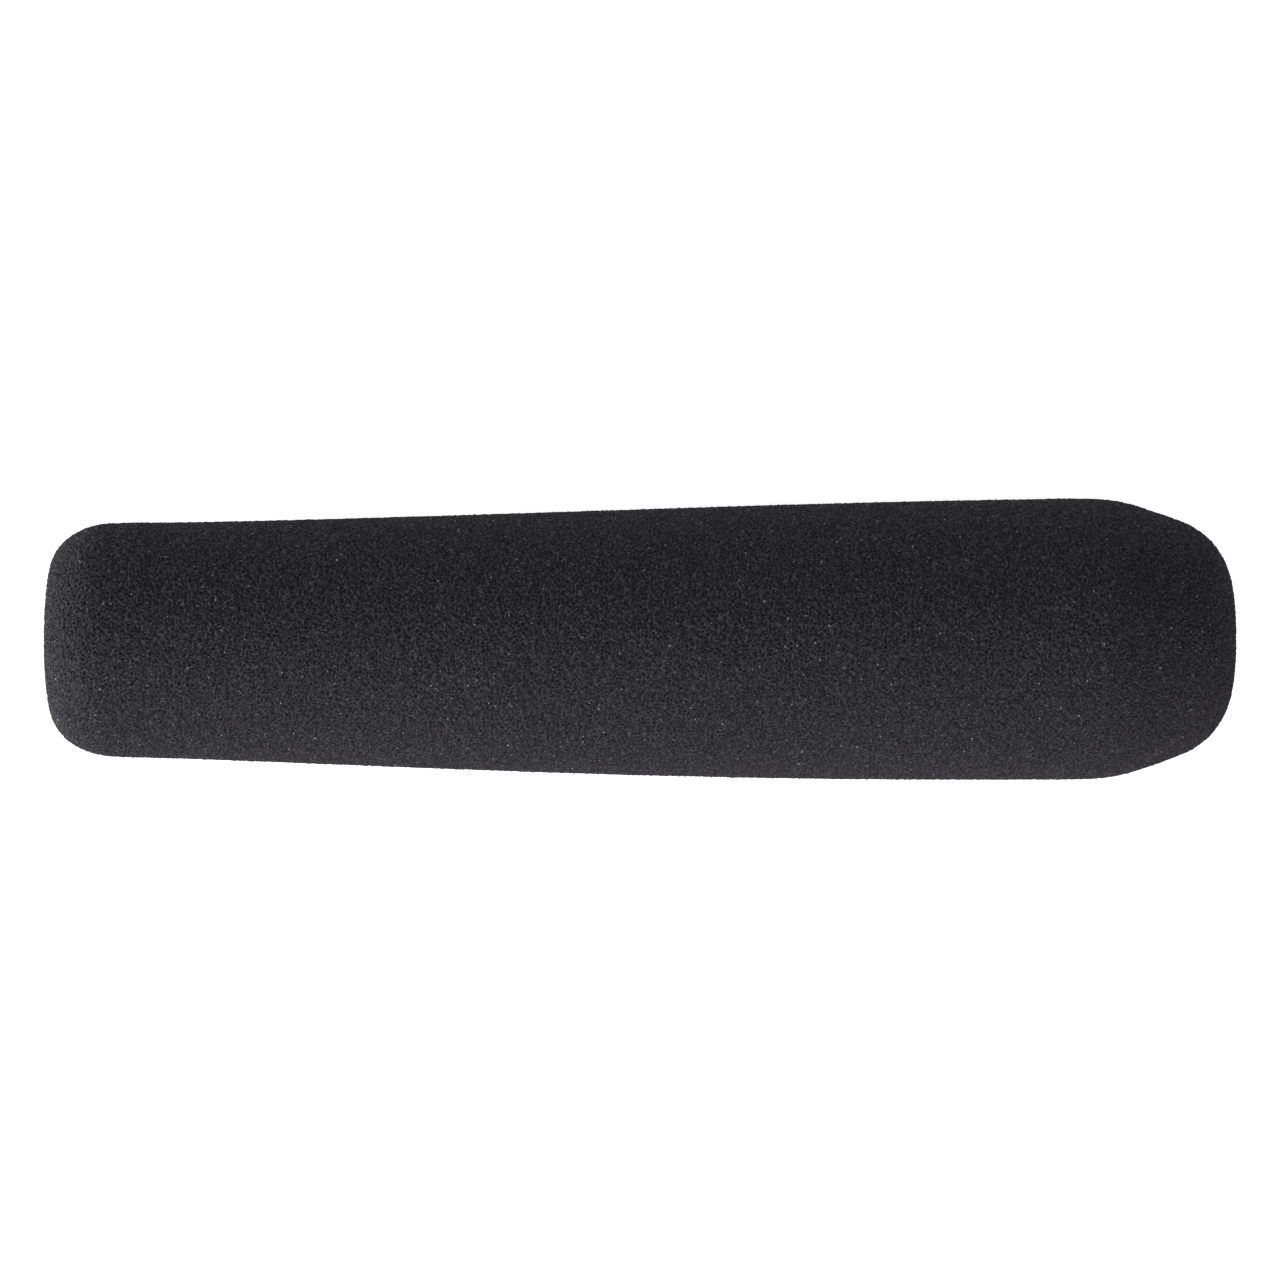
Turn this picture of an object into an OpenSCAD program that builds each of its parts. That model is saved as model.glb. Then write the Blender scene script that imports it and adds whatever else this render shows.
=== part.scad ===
// Slip-on foam windscreen for a shotgun microphone.
//
// A flared sleeve of fine-cell foam, ground to shape from one block and bored blind from its
// mouth end. Inside it a coarse-cell foam liner and a coarse disc hold the fine foam off the
// microphone's slots, and a rubber collar near the mouth grips the barrel and seals behind it.
//
// Everything is turned about the X axis. X = 0 is the outer end of the collar's grip bore,
// +X runs to the nose, and the mouth opens to -X. Millimetres.

/* [Overall] */
// Length over the foam, mouth rim to nose
overall_len = 202; // [170:1:300]
// Largest diameter, just behind the nose
nose_d = 48; // [42:1:70]
// Diameter of the slimmer mouth end
mouth_end_d = 40; // [36:1:60]

/* [Nose] */
// Length of the nose, from the end of the barrel to the tip
nose_len = 24.8; // [23:0.1:40]
// Angle of the nose's cone to the axis
nose_angle = 19.5; // [10:0.5:30]
// Radius that blends the barrel into the cone
shoulder_r = 29; // [10:0.5:30]
// Radius that rounds the cone into the flat tip
tip_r = 13; // [5:0.5:14]

/* [Mouth] */
// Axial length of the rounding around the mouth
mouth_round_len = 11; // [4:0.5:20]
// Radial room between the thickest barrel and the foam's opening
mouth_room = 0.4; // [0.2:0.1:1.5]
// Radius on the inner edge of the opening
mouth_edge_r = 0.9; // [0.3:0.1:1.5]
// Depth of the foam lip that hides the collar
lip_depth = 3; // [1.5:0.1:6]

/* [Barrel] */
// How early the flare swells: 1 is early, 2 is late
flare_power = 1.3; // [1:0.05:2]

/* [Microphone fit] */
// Bore of the collar's grip lips, for the slimmest barrel
grip_d = 19; // [16:0.1:22.8]
// How much thicker a barrel the lips stretch over, on the diameter
stretch_d = 3; // [2.4:0.1:4]
// Radial room between the thickest barrel and the liner
barrel_room = 0.25; // [0.1:0.05:1]

/* [Collar] */
// Length of the collar in front of its flange
collar_len = 13; // [11.5:0.5:25]
// Wall of the collar outside its relief bore
collar_wall = 1.5; // [1:0.1:2.5]
// Height of the grip lips above the relief bore
lip_height = 1.1; // [0.5:0.1:2]
// Axial length of each grip lip
lip_len = 2.5; // [1:0.1:3]
// Axial gap between the two grip lips
lip_gap = 3; // [1:0.1:4]
// Thickness of the flange
flange_t = 1.6; // [1:0.1:3]
// How far the flange stands out over the hoop's seat
flange_rise = 1.4; // [0.8:0.1:2]
// Radius of the half-round bead on the flange's face, around the entry
bead_r = 0.5; // [0.3:0.05:0.6]

/* [Hoop] */
// Wall of the stiff hoop around the collar
hoop_wall = 0.8; // [0.5:0.1:1.5]
// Length of the collar's barb, which keeps the hoop on
barb_len = 1.4; // [0.8:0.1:2.5]
// Number of glue windows around the hoop
windows = 10; // [4:1:16]
// Width of each window
window_w = 4; // [1:0.5:5]
// Solid band of hoop left at each end of a window
window_band = 2.2; // [1:0.1:3]

/* [Liner] */
// Wall of the coarse foam liner
liner_wall = 3.25; // [2:0.25:5]
// Width of the butt seam where the liner's sheet meets itself
seam_gap = 0.4; // [0.2:0.1:1]
// Thickness of the coarse disc in front of the microphone
disc_t = 8; // [4:0.5:15]
// Solid fine foam in front of that disc
nose_wall = 26; // [16:0.5:40]

/* [Adhesive] */
// Thickness of the adhesive films
film_t = 0.3; // [0.1:0.05:0.6]
// Number of adhesive bands around the liner
bands = 3; // [2:1:6]
// Axial length of each band
band_len = 10; // [4:1:20]
// Diameter of the dab that holds the disc
dab_d = 16; // [6:1:24]

/* [Clearances] */
// Radial room around the flange in the foam
flange_room = 0.2; // [0.1:0.05:0.5]
// Radial room between the bead and the foam's opening
bead_room = 0.2; // [0.1:0.05:0.4]
// Axial room between the collar, the liner and the disc
end_room = 0.2; // [0.1:0.05:0.5]

/* [Hidden] */

$fn = 96;
curve_steps = 14;   // straight steps in each curved stretch of the outline
eps = 1;            // how far a cutter runs past what it cuts

// Along the axis
flange_x = -flange_t;                       // outer face of the flange
rim_x = flange_x - lip_depth;               // mouth rim
tip_x = rim_x + overall_len;                // nose tip
shoulder_x = tip_x - nose_len;              // end of the barrel
round_end_x = rim_x + mouth_round_len;      // start of the flare
bore_end_x = tip_x - nose_wall;             // bottom of the blind bore
disc_x = bore_end_x - film_t - disc_t;      // back of the disc
liner_x = collar_len + end_room;            // mouth end of the liner
liner_end_x = disc_x - end_room;            // nose end of the liner
barb_x = collar_len - barb_len;             // start of the barb

// Radii
barrel_max_r = (grip_d + stretch_d) / 2;    // thickest barrel
open_r = barrel_max_r + mouth_room;         // opening in the foam
crown_r = open_r + mouth_edge_r;            // highest circle of the mouth rim
grip_r = grip_d / 2;
relief_r = grip_r + lip_height;             // collar bore between and past the lips
collar_r = relief_r + collar_wall;          // hoop's seat on the collar
hoop_r = collar_r + hoop_wall;
seat_r = hoop_r + film_t;                   // foam's seat for the bonded collar
flange_r = seat_r + flange_rise;
bead_centre_r = open_r - bead_room - bead_r;
liner_bore_r = barrel_max_r + barrel_room;
liner_r = liner_bore_r + liner_wall;
bore_r = liner_r + film_t;                  // foam's bore around the liner

// Outline of the outside, as [x, radius] points from the mouth rim to the tip
function steps(n) = [for (i = [0:n]) i / n];

function mouth_round() = [for (t = steps(curve_steps))
    [round_end_x - mouth_round_len * cos(90 * t),
     crown_r + (mouth_end_d / 2 - crown_r) * sin(90 * t)]];

function flare() = [for (t = steps(curve_steps))
    [round_end_x + (shoulder_x - round_end_x) * t,
     mouth_end_d / 2 + (nose_d - mouth_end_d) / 2 * pow(sin(90 * t), flare_power)]];

// The arc from the barrel to the cone, and the arc from the cone to the flat tip
function shoulder() = [for (t = steps(curve_steps / 2))
    [shoulder_x + shoulder_r * sin(nose_angle * t),
     nose_d / 2 - shoulder_r * (1 - cos(nose_angle * t))]];

cone_start = shoulder()[curve_steps / 2];
tip_round_x = tip_x - tip_r;                // centre of the tip's arc
cone_end_x = tip_round_x + tip_r * sin(nose_angle);
cone_end_r = cone_start[1] - tan(nose_angle) * (cone_end_x - cone_start[0]);
tip_flat_r = cone_end_r - tip_r * cos(nose_angle);

function tip_round() = [for (t = steps(curve_steps)) let (a = nose_angle + (90 - nose_angle) * t)
    [tip_round_x + tip_r * sin(a), tip_flat_r + tip_r * cos(a)]];

function rest_of(points) = [for (i = [1:len(points) - 1]) points[i]];

// A closed outline of [x, radius] points, turned about the X axis
module turned(outline)
    rotate([0, 90, 0])
        rotate_extrude()
            polygon([for (p = outline) [p[1], p[0]]]);

// A cylinder along X, from x0 to x1
module rod(x0, x1, r)
    translate([x0, 0, 0])
        rotate([0, 90, 0])
            cylinder(h = x1 - x0, r = r);

module ring(x0, x1, r_in, r_out)
    difference() {
        rod(x0, x1, r_out);
        rod(x0 - eps, x1 + eps, r_in);
    }

// Fine-cell foam, ground outside, with one stepped blind bore
module foam_body()
    color([0.09, 0.09, 0.10])
        difference() {
            turned(concat([[rim_x, 0]], mouth_round(), rest_of(flare()), rest_of(shoulder()),
                          tip_round(), [[tip_x, 0]]));
            mouth_cut();
            rod(flange_x, film_t, flange_r + flange_room);
            rod(flange_x, liner_x, seat_r);
            rod(collar_len, bore_end_x, bore_r);
        }

// The mouth opening, with its inner edge rounded
module mouth_cut()
    turned(concat(
        [[rim_x - eps, 0], [rim_x - eps, crown_r]],
        [for (t = steps(6)) [rim_x + mouth_edge_r * (1 - cos(90 * t)), crown_r - mouth_edge_r * sin(90 * t)]],
        [[flange_x + eps / 2, open_r], [flange_x + eps / 2, 0]]));

// Coarse-cell foam sheet, rolled into a tube with one butt seam along the top
module spacer_liner()
    color([0.16, 0.16, 0.17])
        difference() {
            ring(liner_x, liner_end_x, liner_bore_r, liner_r);
            translate([liner_x - eps, -seam_gap / 2, 0])
                cube([liner_end_x - liner_x + 2 * eps, seam_gap, liner_r + eps]);
        }

// Coarse-cell foam disc that keeps an open space in front of the microphone
module spacer_disc()
    color([0.16, 0.16, 0.17])
        rod(disc_x, disc_x + disc_t, liner_r);

// Moulded rubber: a flange with a bead around the entry, two grip lips, and a barb
module grip_collar()
    color([0.05, 0.05, 0.05])
        turned([
            for (t = steps(8))
                [flange_x - bead_r * sin(180 * t), bead_centre_r + bead_r * cos(180 * t)],
            [0, grip_r], [lip_len, grip_r],
            [lip_len, relief_r], [lip_len + lip_gap, relief_r],
            [lip_len + lip_gap, grip_r], [2 * lip_len + lip_gap, grip_r],
            [2 * lip_len + lip_gap + lip_height, relief_r], [collar_len, relief_r],
            [collar_len, collar_r], [barb_x, hoop_r],
            [barb_x, collar_r], [0, collar_r],
            [0, flange_r], [flange_x, flange_r]
        ]);

// Stiff plastic hoop between the flange and the barb, with windows that the adhesive keys into
module collar_hoop()
    color([0.20, 0.20, 0.21])
        difference() {
            ring(0, barb_x, collar_r, hoop_r);
            for (i = [0:windows - 1])
                rotate([i * 360 / windows, 0, 0])
                    translate([window_band, -window_w / 2, collar_r - eps])
                        cube([barb_x - 2 * window_band, window_w, hoop_wall + 2 * eps]);
        }

// Cured adhesive under the flange, around the hoop, and keyed into the hoop's windows
module collar_bond()
    color([0.75, 0.70, 0.55])
        difference() {
            union() {
                ring(0, film_t, collar_r, flange_r);
                ring(0, barb_x, collar_r, seat_r);
            }
            collar_hoop();
        }

// Cured adhesive in bands between the liner and the foam
module liner_bond()
    color([0.75, 0.70, 0.55])
        for (i = [0:bands - 1]) {
            band_x = liner_x + (liner_end_x - liner_x) * (i + 0.5) / bands - band_len / 2;
            ring(band_x, band_x + band_len, liner_r, bore_r);
        }

// Dab of cured adhesive between the disc and the bottom of the bore
module disc_bond()
    color([0.75, 0.70, 0.55])
        rod(disc_x + disc_t, bore_end_x, dab_d / 2);

foam_body();
spacer_liner();
spacer_disc();
grip_collar();
collar_hoop();
collar_bond();
liner_bond();
disc_bond();
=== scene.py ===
import math

import bmesh
import bpy
import numpy as np
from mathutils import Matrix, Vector
from mathutils.geometry import interpolate_bezier


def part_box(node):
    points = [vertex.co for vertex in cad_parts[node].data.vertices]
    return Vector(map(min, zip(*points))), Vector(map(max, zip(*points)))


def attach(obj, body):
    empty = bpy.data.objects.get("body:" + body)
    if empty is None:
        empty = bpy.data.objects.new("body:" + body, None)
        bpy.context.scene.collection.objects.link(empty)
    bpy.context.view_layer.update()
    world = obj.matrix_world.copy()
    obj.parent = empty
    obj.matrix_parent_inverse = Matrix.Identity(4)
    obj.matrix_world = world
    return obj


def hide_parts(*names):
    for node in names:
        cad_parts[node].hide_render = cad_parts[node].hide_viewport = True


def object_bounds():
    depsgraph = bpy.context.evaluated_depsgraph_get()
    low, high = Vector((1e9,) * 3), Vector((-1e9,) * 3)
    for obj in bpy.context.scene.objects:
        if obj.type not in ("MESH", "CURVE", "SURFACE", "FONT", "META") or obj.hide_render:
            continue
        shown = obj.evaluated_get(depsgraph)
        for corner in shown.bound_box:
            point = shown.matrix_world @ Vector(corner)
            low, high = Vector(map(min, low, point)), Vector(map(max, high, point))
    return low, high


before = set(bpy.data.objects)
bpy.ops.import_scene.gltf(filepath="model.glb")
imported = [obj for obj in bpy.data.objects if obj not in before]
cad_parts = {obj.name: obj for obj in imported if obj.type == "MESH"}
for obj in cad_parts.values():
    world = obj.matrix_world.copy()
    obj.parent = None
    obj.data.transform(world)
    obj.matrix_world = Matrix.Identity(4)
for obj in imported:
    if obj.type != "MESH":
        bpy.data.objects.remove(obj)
cad_low, cad_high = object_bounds()

# ---- Camera and lamps ------------------------------------------------------------------
# The windscreen lies on a table, nose to the right, and the camera looks straight down on it.
# One wide lamp stands low on the near side and a smaller one low at the mouth end.

camera_height = 0.8
camera_lens = 131.07                  # millimetres
camera_sensor = 36                    # millimetres across
camera_nearest = 0.01                 # the camera sees nothing nearer than this
aim_back = 0.00035                    # the aim is this far short of the windscreen's middle
near_lamp_place = (0.0, -0.6, 0.29)   # from the aim, as the other lamp's is
near_lamp_size = (0.9, 0.3)
near_lamp_strength = 4.15
mouth_lamp_place = (-0.75, -0.05, 0.14)
mouth_lamp_size = (0.3, 0.3)
mouth_lamp_strength = 29.0
mouth_lamp_colour = (1.0, 1.04, 0.92)
room_light = 0.66

aim = Vector(((cad_low.x + cad_high.x) / 2 - aim_back, 0, 0))

camera = bpy.data.objects.new("camera", bpy.data.cameras.new("camera"))
bpy.context.scene.collection.objects.link(camera)
camera.location = (aim.x, 0, camera_height)
camera.data.lens = camera_lens
camera.data.sensor_width = camera_sensor
camera.data.clip_start = camera_nearest
bpy.context.scene.camera = camera


def soft_box(name, place, size, strength, colour=(1, 1, 1)):
    """A rectangular lamp that stands at a place measured from the aim, and faces the aim."""
    wide, tall = size
    lamp = bpy.data.objects.new(name, bpy.data.lights.new(name, "AREA"))
    bpy.context.scene.collection.objects.link(lamp)
    lamp.data.shape = "RECTANGLE"
    lamp.data.size = wide
    lamp.data.size_y = tall
    lamp.data.energy = strength * wide * tall * math.pi
    lamp.data.color = colour
    lamp.location = aim + Vector(place)
    lamp.rotation_euler = (-Vector(place)).to_track_quat("-Z", "Y").to_euler()


soft_box("near_lamp", near_lamp_place, near_lamp_size, near_lamp_strength)
soft_box("mouth_lamp", mouth_lamp_place, mouth_lamp_size, mouth_lamp_strength, mouth_lamp_colour)

world = bpy.data.worlds.new("studio")
bpy.context.scene.world = world
world.use_nodes = True
background = world.node_tree.nodes["Background"]
background.inputs["Color"].default_value = (1, 1, 1, 1)
background.inputs["Strength"].default_value = room_light
bpy.context.scene.view_settings.view_transform = "Standard"

# ---- Foam body -------------------------------------------------------------------------
# The sleeve is one block of fine, charcoal-black polyurethane foam, ground to shape on the
# outside and bored blind from its mouth end. Grinding opens the cells, so the skin is pitted.

skin_step = 0.00024                   # between points along the skin
skin_turns = 604                      # points round it
hidden_step = 0.004                   # between points along a wall that stays smooth
hidden_share = 0.12                   # of its true length, which such a wall gets on the bake's map
hard_corner = math.radians(40)        # a sharper turn ends a smooth stretch of an outline
beside_axis = 0.00001                 # how far from the axis a node is cut open
in_line = 0.000003                    # a corner this near its neighbours' line is left out
same_place = 0.000001                 # points nearer to each other than this are one
skin_fades = 0.0006                   # the relief dies out over this length, before a hard corner
fine_cell = 0.00050                   # the width of a cell, and of the grain in its walls
fine_opened = 0.00064                 # the width of a pit, where the grinding opened the cells
fine_pit = 0.00042                    # the depth of the deepest
fine_swell = 0.00008                  # broad unevenness left by the grinding
fine_seed = 7.0
# The fine foam's colours: one in painted shade at the bottom of its pits, one in painted light on its
# walls, and a painted glint.
foam_shaded_pit = (0.0115, 0.0108, 0.0134)
foam_lit_wall = (0.0560, 0.0524, 0.0665)
foam_painted_glint = (0.31, 0.30, 0.32)
bow = 0.0005                          # the sleeve has taken a sideways bend of this much
bow_lengths = 1.6                     # a whole wave of the bend, in lengths of the windscreen

# The pits of any foam here, in widths of a pit
bend_rate = 1.3                       # waves of bend in a wall
bend_reach = 0.6                      # how far the bend moves a wall
pit_slope = 0.32                      # how far from its walls a pit is at its full depth
shallowest = 0.85                     # the shallowest pit, as a share of the deepest
grain_rate = 1.25                     # waves of the grain that roughens walls and pits
grain_rest = 0.25                     # the level of that grain which leaves the skin where it was
swell_rate = 150.0                    # swells in a metre

# The finish of any foam here
foam_rough = 0.95
foam_specular = 0.12
wall_light_reach = 0.4                      # how far the painted light on a wall reaches, in widths of a pit
wall_light_share = 0.45                     # how much of the paleness is painted light on the walls
speckle_rate = 1.35                   # waves of the speckle that the rest comes from, in a cell
speckle_dark = 0.25                   # its level where it is darkest
speckle_pale = 0.75
pale_power = 2.2                      # above 1, it makes the pale spots small and rare
pale_stands = 0.5                     # how far the palest spots stand proud, in cells
flakes = 1.3                          # flakes of cell skin in a cell's width, few of which get a painted glint
dull_flakes = 0.977                   # the share that gets no painted glint
flake_core = 0.20                     # the middle of a flake's painted glint, and its edge, as shares of the flake
flake_edge = 0.48
flake_rough = 0.35


def half_section(node):
    """The half-section of a turned CAD node below its axis: its (x, radius) corners in order."""
    solid = bmesh.new()
    solid.from_mesh(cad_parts[node].data)
    bmesh.ops.remove_doubles(solid, verts=solid.verts, dist=same_place / 10)
    everything = solid.verts[:] + solid.edges[:] + solid.faces[:]
    cut = bmesh.ops.bisect_plane(solid, geom=everything, dist=same_place / 1000,
                                 plane_co=(0, beside_axis, 0), plane_no=(0, 1, 0))["geom_cut"]
    beside = {}
    for edge in (e for e in cut if isinstance(e, bmesh.types.BMEdge)):
        a, b = edge.verts
        if min(a.co.z, b.co.z) < 0:
            beside.setdefault(a, []).append(b)
            beside.setdefault(b, []).append(a)
    on_axis = [v for v in beside if v.co.z >= 0]
    here = max(on_axis or beside, key=lambda v: v.co.x - v.co.z)
    walked = [here]
    while ahead := [v for v in beside[here] if v not in walked[-2:] + walked[:1]]:
        here = min(ahead, key=lambda v: v.co.z)
        walked.append(here)
    points = [Vector((v.co.x, max(-v.co.z, 0.0))) for v in walked]
    solid.free()
    if not on_axis:
        points.append(points[0])
    corners = [points[0]]
    for here, ahead in zip(points[1:], points[2:]):
        line = ahead - corners[-1]
        aside = abs(line.cross(here - corners[-1])) / max(line.length, in_line)
        if aside > in_line and (here - corners[-1]).length > in_line:
            corners.append(here)
    return corners + [points[-1]]


def smooth_runs(corners):
    """The corners in runs that turn softly, each with the hard corners at its two ends."""
    runs, run = [], [corners[0]]
    for before, here, ahead in zip(corners, corners[1:], corners[2:]):
        run.append(here)
        if (here - before).angle(ahead - here) > hard_corner:
            runs.append(run)
            run = [here]
    return runs + [run + [corners[-1]]]


def along(run, step):
    """Points about step apart on the smooth curve through a run of corners."""
    leans = [(run[1] - run[0]).normalized()]
    for before, here, ahead in zip(run, run[1:], run[2:]):
        back, on = here - before, ahead - here
        leans.append((back * on.length / back.length + on * back.length / on.length)
                     / (back.length + on.length))
    leans.append((run[-1] - run[-2]).normalized())
    points = [run[0]]
    for a, b, lean_a, lean_b in zip(run, run[1:], leans, leans[1:]):
        third = (b - a).length / 3
        count = max(1, round(3 * third / step))
        points += interpolate_bezier(a, a + lean_a * third, b - lean_b * third, b, count + 1)[1:]
    return np.array([p[:2] for p in points])


def turned(name, node, rough_run, step, turns, slit=0.0):
    """A closed foam shape, turned about X through a CAD node's outline, for opened_cells to work
    on. One run of the outline is rough, with points step apart. slit is the angle of a gap on top."""
    outline, rough, share = [], [], []
    runs = smooth_runs(half_section(node))
    for number, run in enumerate(runs):
        is_rough = number == rough_run % len(runs)
        points = along(run, step if is_rough else hidden_step)
        length = np.append(0, np.cumsum(np.linalg.norm(np.diff(points, axis=0), axis=1)))
        from_start = length if points[0, 1] > beside_axis else length + skin_fades
        from_end = length[-1] - length if points[-1, 1] > beside_axis else length + skin_fades
        outline.append(points[:-1])
        rough.append((np.clip(np.minimum(from_start, from_end) / skin_fades, 0, 1) * is_rough)[:-1])
        share.append(np.diff(length) * (1 if is_rough else hidden_share))
    outline = np.concatenate(outline + [points[-1:]])
    rough = np.append(np.concatenate(rough), rough[-1][-1])
    across = np.append(0, np.cumsum(np.concatenate(share)))
    across /= across[-1]
    columns = np.arange(turns + 1)
    angle = math.pi / 2 + slit / 2 + (2 * math.pi - slit) * columns / turns
    x, radius = outline[:, :1], outline[:, 1:]
    places = np.stack(np.broadcast_arrays(x, radius * np.cos(angle), radius * np.sin(angle)), 2)
    flat = np.stack(np.broadcast_arrays(across[:, None], columns / turns), 2)
    spot = np.arange(len(outline) * len(columns)).reshape(len(outline), -1)
    quads = np.stack([spot[:-1, :-1], spot[1:, :-1], spot[1:, 1:], spot[:-1, 1:]], 2).reshape(-1, 4)
    mesh = bpy.data.meshes.new(name)
    mesh.from_pydata(places.reshape(-1, 3), [], quads)
    mesh.uv_layers.new(name="OFBake").uv.foreach_set("vector", flat.reshape(-1, 2)[quads].ravel())
    skin = np.repeat(rough, len(columns))
    mesh.attributes.new("skin", "FLOAT", "POINT").data.foreach_set("value", skin)
    shape = bmesh.new()
    shape.from_mesh(mesh)
    bmesh.ops.remove_doubles(shape, verts=shape.verts, dist=same_place)
    bmesh.ops.holes_fill(shape, edges=[e for e in shape.edges if e.is_boundary])
    bmesh.ops.recalc_face_normals(shape, faces=shape.faces)
    shape.to_mesh(mesh)
    shape.free()
    made = bpy.data.objects.new(name, mesh)
    bpy.context.scene.collection.objects.link(made)
    return made


def add(tree, kind, inputs=(), **settings):
    """A node of that kind. inputs maps its sockets to values, or to the sockets they come from."""
    made = tree.nodes.new(kind)
    for name, value in settings.items():
        setattr(made, name, value)
    for name, value in dict(inputs).items():
        if isinstance(value, bpy.types.NodeSocket):
            tree.links.new(value, made.inputs[name])
        else:
            made.inputs[name].default_value = value
    return made


def maths(tree, operation, *values):
    return add(tree, "ShaderNodeMath", enumerate(values), operation=operation).outputs[0]


def vector(tree, operation, *values):
    values = [(v, v, v) if isinstance(v, float) else v for v in values]
    return add(tree, "ShaderNodeVectorMath", enumerate(values), operation=operation).outputs[0]


def scaled(tree, value, by):
    inputs = {0: value, "Scale": by}
    return add(tree, "ShaderNodeVectorMath", inputs, operation="SCALE").outputs[0]


def eased(tree, value, low, high, to_low=0.0, to_high=1.0):
    """value between low and high, eased into a number between to_low and to_high."""
    inputs = {"Value": value, "From Min": low, "From Max": high, "To Min": to_low, "To Max": to_high}
    made = add(tree, "ShaderNodeMapRange", inputs, interpolation_type="SMOOTHSTEP")
    return made.outputs["Result"]


def noise(tree, place, scale, detail=1.0):
    inputs = {"Vector": place, "Scale": scale, "Detail": detail}
    return add(tree, "ShaderNodeTexNoise", inputs).outputs


def voronoi(tree, place, scale, feature="F1"):
    inputs = {"Vector": place, "Scale": scale}
    return add(tree, "ShaderNodeTexVoronoi", inputs, feature=feature).outputs


def own_number(tree, cells):
    """A random number from 0 to 1 that is each cell's own."""
    return add(tree, "ShaderNodeSeparateXYZ", {"Vector": cells["Color"]}).outputs["X"]


def foam_lattice(tree, place, size, seed):
    """A place in units of one cell: as it is, and bent, so that the cells' walls are uneven."""
    even = vector(tree, "ADD", vector(tree, "DIVIDE", place, size), seed)
    bend = scaled(tree, noise(tree, even, bend_rate)["Color"], bend_reach)
    return even, vector(tree, "ADD", even, bend)


def from_wall(tree, bent):
    """How far the nearest cell wall is from a place on the bent lattice."""
    return voronoi(tree, bent, 1.0, "DISTANCE_TO_EDGE")["Distance"]


def opened_cells():
    """The tree that opens the cells of a foam skin: each is a pit between raised walls. It also
    bends the skin sideways, and leaves the smooth walls, where the attribute skin is 0, alone."""
    tree = bpy.data.node_groups.new("opened_cells", "GeometryNodeTree")
    kinds = {"Geometry": "Geometry", "Cell size": "Float", "Pit depth": "Float", "Swell": "Float",
             "Bow": "Float", "Bow rate": "Float", "Seed": "Float", "Material": "Material"}
    for name, kind in kinds.items():
        tree.interface.new_socket(name, in_out="INPUT", socket_type="NodeSocket" + kind)
    tree.interface.new_socket("Geometry", in_out="OUTPUT", socket_type="NodeSocketGeometry")
    given = add(tree, "NodeGroupInput").outputs
    place = add(tree, "GeometryNodeInputPosition").outputs[0]
    skin = add(tree, "GeometryNodeInputNamedAttribute", {"Name": "skin"}, data_type="FLOAT").outputs[0]
    along_x = add(tree, "ShaderNodeSeparateXYZ", {"Vector": place}).outputs["X"]
    wave = maths(tree, "SINE", maths(tree, "MULTIPLY", along_x, given["Bow rate"]))
    aside = add(tree, "ShaderNodeCombineXYZ", {"Y": maths(tree, "MULTIPLY", wave, given["Bow"])})
    bowed = vector(tree, "SUBTRACT", place, scaled(tree, aside.outputs[0], skin))
    even, bent = foam_lattice(tree, bowed, given["Cell size"], given["Seed"])
    depth = eased(tree, own_number(tree, voronoi(tree, bent, 1.0)), 0.0, 1.0, shallowest, 1.0)
    pit = maths(tree, "MULTIPLY", eased(tree, from_wall(tree, bent), 0.0, pit_slope), depth)
    rough = maths(tree, "SUBTRACT", noise(tree, even, grain_rate)[0], grain_rest)
    swell = maths(tree, "SUBTRACT", noise(tree, bowed, swell_rate, 2.0)[0], 0.5)
    lift = maths(tree, "ADD",
                 maths(tree, "MULTIPLY", maths(tree, "SUBTRACT", rough, pit), given["Pit depth"]),
                 maths(tree, "MULTIPLY", swell, given["Swell"]))
    outwards = add(tree, "GeometryNodeInputNormal").outputs[0]
    lifted = vector(tree, "ADD", bowed, scaled(tree, outwards, maths(tree, "MULTIPLY", lift, skin)))
    inputs = {"Geometry": given["Geometry"], "Position": lifted}
    moved = add(tree, "GeometryNodeSetPosition", inputs).outputs[0]
    real = add(tree, "GeometryNodeRealizeInstances", {"Geometry": moved}).outputs[0]
    inputs = {"Geometry": real, "Material": given["Material"]}
    dressed = add(tree, "GeometryNodeSetMaterial", inputs).outputs[0]
    add(tree, "NodeGroupOutput", {"Geometry": dressed})
    return tree


def grown(piece, tree, given):
    """Runs a geometry tree on piece, with the given inputs, and keeps the result as its mesh."""
    modifier = piece.modifiers.new(tree.name, "NODES")
    modifier.node_group = tree
    for socket in tree.interface.items_tree:
        if socket.in_out == "INPUT" and socket.name in given:
            modifier[socket.identifier] = given[socket.name]
    graph = bpy.context.evaluated_depsgraph_get()
    mesh = bpy.data.meshes.new_from_object(piece.evaluated_get(graph), depsgraph=graph)
    piece.modifiers.clear()
    mesh.name = piece.name
    mesh.polygons.foreach_set("use_smooth", np.ones(len(mesh.polygons), bool))
    piece.data = mesh


def finish_on(name, roughness, specular):
    """A new material, with its tree, its shader and its Object coordinates."""
    material = bpy.data.materials.new(name)
    material.use_nodes = True
    tree = material.node_tree
    shader = tree.nodes["Principled BSDF"]
    shader.inputs["Roughness"].default_value = roughness
    shader.inputs["Specular IOR Level"].default_value = specular
    return material, tree, shader, add(tree, "ShaderNodeTexCoord").outputs["Object"]


def mixed(tree, share, first, second):
    """A colour between two, which are three numbers each or come from a socket."""
    ends = [(*c, 1) if isinstance(c, tuple) else c for c in (first, second)]
    inputs = {"Fac": share, "Color1": ends[0], "Color2": ends[1]}
    return add(tree, "ShaderNodeMixRGB", inputs).outputs[0]


def bumped(tree, shader, height, depth):
    """Gives the shader a bump of that depth, in metres."""
    bump = add(tree, "ShaderNodeBump", {"Height": height, "Distance": depth})
    tree.links.new(bump.outputs[0], shader.inputs["Normal"])


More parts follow.
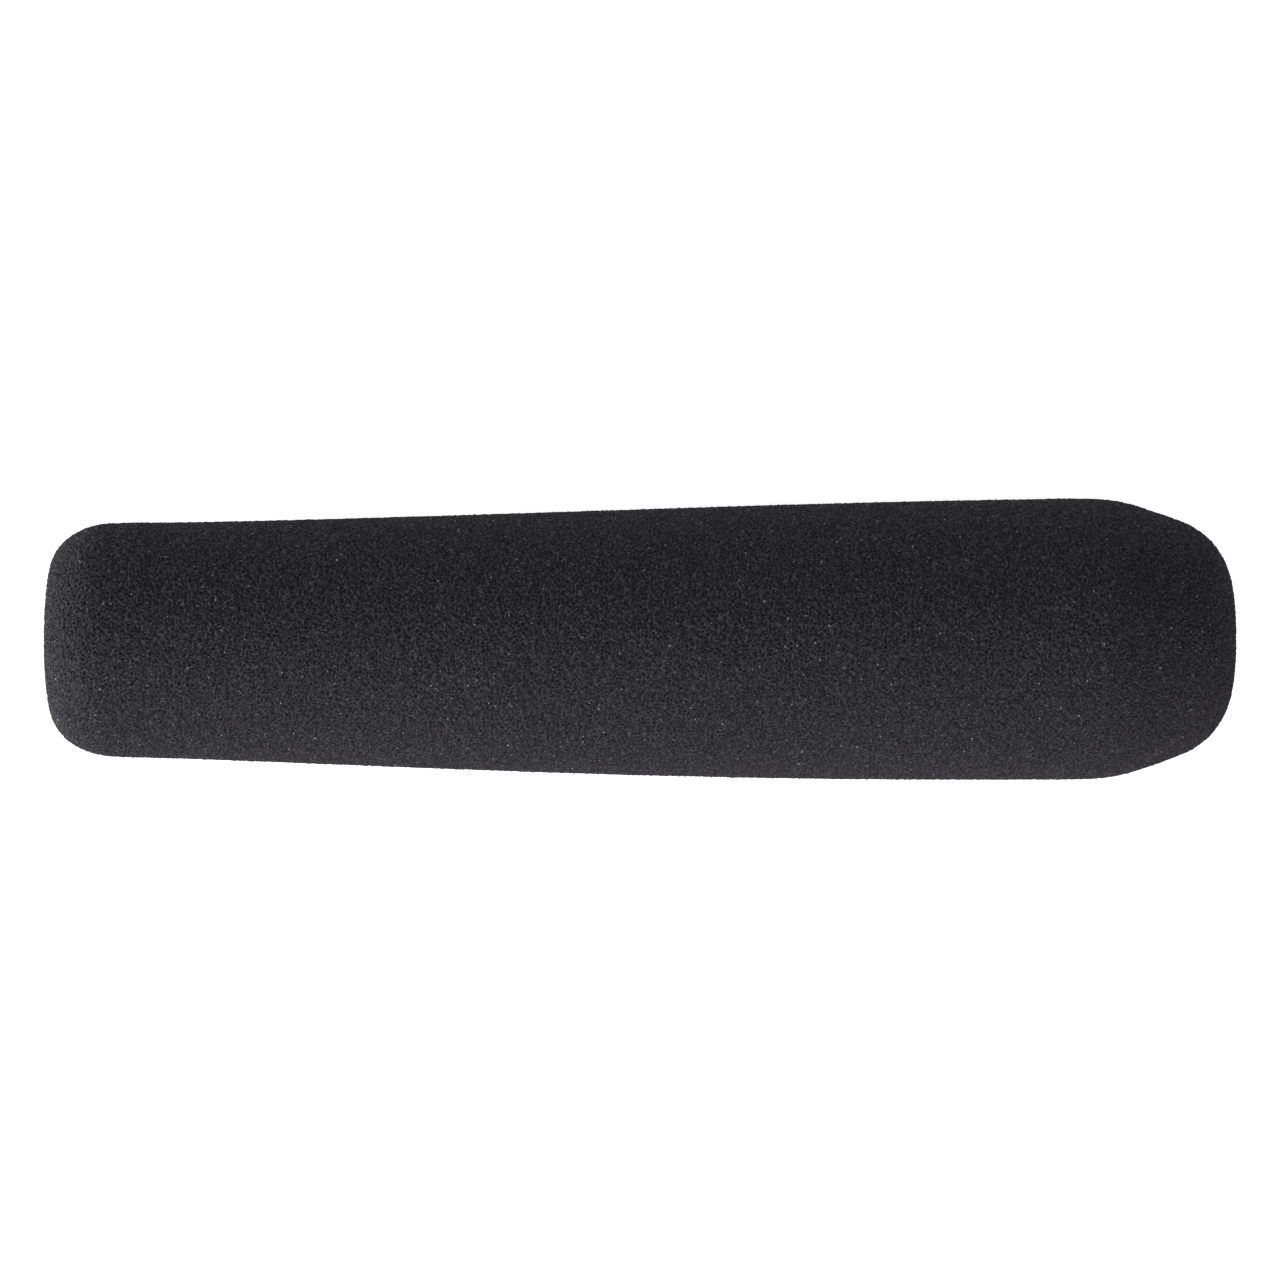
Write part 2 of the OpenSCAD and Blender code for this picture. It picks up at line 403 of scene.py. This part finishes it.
def foam_finish(name, opened, cell, seed, pit, wall, glint):
    """Matt open-cell foam: painted shade in its pits, painted light on its walls, a random speckle,
    and painted glints on a few glossier flakes of cell skin.
    """
    material, tree, shader, place = finish_on(name, foam_rough, foam_specular)
    bent = foam_lattice(tree, place, opened, seed)[1]
    # Painted light and shade: paler near a cell's wall, darker towards the middle of its pit, where
    # the relief's own pits lie.
    walls = eased(tree, from_wall(tree, bent), 0.0, wall_light_reach, wall_light_share, 0.0)
    speckle = eased(tree, noise(tree, place, speckle_rate / cell, 0.0)[0],
                    speckle_dark, speckle_pale, 0.0, 1 - wall_light_share)
    paleness = maths(tree, "POWER", maths(tree, "ADD", walls, speckle), pale_power)
    # Painted glints: a few flakes get a pale colour as a painted highlight, and a lower roughness,
    # which is real gloss.
    flake = voronoi(tree, place, flakes / cell)
    glints = maths(tree, "MULTIPLY", eased(tree, flake["Distance"], flake_core, flake_edge, 1.0, 0.0),
                   eased(tree, own_number(tree, flake), dull_flakes, 1.0))
    colour = mixed(tree, glints, mixed(tree, paleness, pit, wall), glint)
    tree.links.new(colour, shader.inputs["Base Color"])
    roughness = eased(tree, glints, 0.0, 1.0, foam_rough, flake_rough)
    tree.links.new(roughness, shader.inputs["Roughness"])
    bumped(tree, shader, paleness, cell * pale_stands)
    return material


foam_relief = opened_cells()
foam_body = turned("foam_body_foam", "foam_body", 0, skin_step, skin_turns)
grown(foam_body, foam_relief, {
    "Cell size": fine_opened, "Pit depth": fine_pit, "Swell": fine_swell, "Seed": fine_seed,
    "Bow": bow, "Bow rate": 2 * math.pi / (bow_lengths * (cad_high.x - cad_low.x)),
    "Material": foam_finish("fine_foam", fine_opened, fine_cell, fine_seed,
                            foam_shaded_pit, foam_lit_wall, foam_painted_glint)})
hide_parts("foam_body")
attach(foam_body, "root")

# ---- Spacer liner ----------------------------------------------------------------------
# A sheet of coarser, more open foam, rolled into a tube and bonded inside the bore. Its edges
# meet in a seam along the top. It keeps the fine foam clear of the microphone's slots.

liner_step = 0.00045                  # between points along the bore, and points round it
liner_turns = 160
coarse_cell = 0.0014                  # the width of a cell, and the depth of the deepest pit
coarse_pit = 0.0004
coarse_seed = 31.0
near_top = 0.9                        # of the tube's radius: the seam's edges stand above this
# The coarse foam's colours: one in painted shade at the bottom of its pits, one in painted light on
# its walls, and a painted glint.
coarse_shaded_pit = (0.0060, 0.0060, 0.0066)
coarse_lit_wall = (0.0260, 0.0255, 0.0275)
coarse_painted_glint = (0.10, 0.10, 0.10)

liner_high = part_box("spacer_liner")[1]
liner_corners = [v.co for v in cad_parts["spacer_liner"].data.vertices]
crest = [p for p in liner_corners if p.z > near_top * liner_high.z]
seam_gap = 2 * min(abs(p.y) for p in crest)
spacer_liner = turned("spacer_liner_foam", "spacer_liner", 2, liner_step, liner_turns,
                      slit=seam_gap / liner_high.z)
coarse_foam = foam_finish("coarse_foam", coarse_cell, coarse_cell, coarse_seed,
                          coarse_shaded_pit, coarse_lit_wall, coarse_painted_glint)
grown(spacer_liner, foam_relief, {
    "Cell size": coarse_cell, "Pit depth": coarse_pit, "Seed": coarse_seed, "Material": coarse_foam})
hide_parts("spacer_liner")
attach(spacer_liner, "root")

# ---- Spacer disc -----------------------------------------------------------------------
# A disc punched from the same coarse foam. It is bonded at the blind end of the bore, where it
# stops the microphone's tip from pressing into the fine foam.

disc_turns = 200

spacer_disc = turned("spacer_disc_foam", "spacer_disc", -1, liner_step, disc_turns)
grown(spacer_disc, foam_relief, {
    "Cell size": coarse_cell, "Pit depth": coarse_pit, "Seed": coarse_seed, "Material": coarse_foam})
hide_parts("spacer_disc")
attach(spacer_disc, "root")

# ---- Grip collar -----------------------------------------------------------------------
# A soft black rubber collar moulded in one piece, with lips that grip the microphone's barrel
# and a flange under the foam's lip. The mould was textured, so the rubber is matt.

rubber_black = (0.0112, 0.0100, 0.0120)
rubber_dust = (0.027, 0.025, 0.029)
rubber_grain = 0.00035                # the width of the mould's grain, and its depth
rubber_grain_depth = 0.00006
rubber_rough = 0.72
rubber_specular = 0.35

# The wear of any moulded piece here. The pairs are levels of a noise, where it begins and ends.
patch = 0.06                          # patches of dust in the width of one grain
dusty_grain = (0.45, 0.75)
dusty_patch = (0.35, 0.75)
worn_patch = (0.30, 0.70)
wear = 0.08                           # how far the roughness goes up and down


def dress(node, material):
    """Puts a material on all of a CAD node."""
    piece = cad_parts[node]
    if not piece.material_slots:
        piece.data.materials.append(material)
    for slot in piece.material_slots:
        slot.material = material


def textured_black(name, dark, dust, grain, depth, roughness, specular):
    """Black rubber or plastic with a fine moulded grain and a trace of dust in its hollows."""
    material, tree, shader, place = finish_on(name, roughness, specular)
    fine = noise(tree, place, 1 / grain, 3.0)[0]
    broad = noise(tree, place, patch / grain, 2.0)[0]
    dusty = maths(tree, "MULTIPLY", eased(tree, fine, *dusty_grain), eased(tree, broad, *dusty_patch))
    tree.links.new(mixed(tree, dusty, dark, dust), shader.inputs["Base Color"])
    uneven = eased(tree, broad, *worn_patch, roughness - wear, roughness + wear)
    tree.links.new(uneven, shader.inputs["Roughness"])
    bumped(tree, shader, fine, depth)
    return material


dress("grip_collar", textured_black("collar_rubber", rubber_black, rubber_dust, rubber_grain,
                                    rubber_grain_depth, rubber_rough, rubber_specular))

# ---- Collar hoop -----------------------------------------------------------------------
# A thin hoop of black moulded plastic round the collar's sleeve. Its windows let the adhesive
# key through, and its barbed edge keeps the collar from being pulled out with the microphone.

hoop_black = (0.012, 0.012, 0.013)
hoop_dust = (0.035, 0.035, 0.036)
hoop_grain = 0.0008
hoop_grain_depth = 0.00002
hoop_rough = 0.42
hoop_specular = 0.5

dress("collar_hoop", textured_black("hoop_plastic", hoop_black, hoop_dust, hoop_grain,
                                    hoop_grain_depth, hoop_rough, hoop_specular))

# ---- Adhesive bonds --------------------------------------------------------------------
# Brushed-on contact adhesive, dried to thin amber films: round the collar, in three bands
# round the liner, and a dab behind the disc.

adhesive_amber = (0.42, 0.22, 0.06)
adhesive_thick = (0.20, 0.085, 0.018)
adhesive_rough = 0.3
adhesive_specular = 0.5
adhesive_skin = 0.2                   # weight of the glossy skin that it dries with
streak_rates = (250.0, 900.0, 900.0)  # brush streaks in a metre, along each axis
streak_edges = (0.3, 0.7)             # levels of the streaks' noise where they begin and end
streak_depth = 0.00008


def dried_adhesive():
    """Amber film, darker where the brush left it thick."""
    material, tree, shader, place = finish_on("adhesive", adhesive_rough, adhesive_specular)
    shader.inputs["Coat Weight"].default_value = adhesive_skin
    streaks = noise(tree, vector(tree, "MULTIPLY", place, streak_rates), 1.0, 3.0)[0]
    thick = eased(tree, streaks, *streak_edges)
    colour = mixed(tree, thick, adhesive_amber, adhesive_thick)
    tree.links.new(colour, shader.inputs["Base Color"])
    bumped(tree, shader, streaks, streak_depth)
    return material


adhesive = dried_adhesive()
for bond in ("collar_bond", "liner_bond", "disc_bond"):
    dress(bond, adhesive)

# ---- Table -----------------------------------------------------------------------------
# The windscreen lies on a back-lit sheet of opal plastic. It rests on the swell round its mouth
# and on its belly, so the sheet follows the line that touches both.

table_side = 3.0
relief_stands = 0.00012               # how far the skin's grain stands proud
opal_white = (0.90, 0.90, 0.90)
opal_glow = 0.60
opal_rough = 0.5
opal_specular = 0.2
cloud_rate = 6.0                      # clouds in a metre of the sheet
cloud_edges = (0.3, 0.7)              # levels of their noise where they begin and end
cloud_dims = 0.97                     # how white the sheet is in a cloud

skin_corners = smooth_runs(half_section("foam_body"))[0]
halfway = (cad_low.x + cad_high.x) / 2


def radius_halfway(pair):
    """The radius halfway along that a straight line through a pair of outline points gives."""
    a, b = pair
    return a.y + (b.y - a.y) * (halfway - a.x) / (b.x - a.x)


sides = [(a, b) for a in skin_corners if a.x < halfway for b in skin_corners if b.x > halfway]
near_mouth, belly = max(sides, key=radius_halfway)
rise = (belly.y - near_mouth.y) / (belly.x - near_mouth.x)


def table_at(x, y):
    """The point of the table's top at that x and y."""
    return (x, y, -near_mouth.y - rise * (x - near_mouth.x) - relief_stands)


half = table_side / 2
sheet = bpy.data.meshes.new("table")
table_corners = [(-half, -half), (half, -half), (half, half), (-half, half)]
sheet.from_pydata([table_at(x, y) for x, y in table_corners], [], [(0, 1, 2, 3)])
opal, tree, shader, place = finish_on("opal", opal_rough, opal_specular)
clear = eased(tree, noise(tree, place, cloud_rate, 3.0)[0], *cloud_edges, cloud_dims, 1.0)
tree.links.new(mixed(tree, clear, (0, 0, 0), opal_white), shader.inputs["Base Color"])
shader.inputs["Emission Color"].default_value = (1, 1, 1, 1)
shader.inputs["Emission Strength"].default_value = opal_glow
sheet.materials.append(opal)
table = bpy.data.objects.new("table", sheet)
bpy.context.scene.collection.objects.link(table)
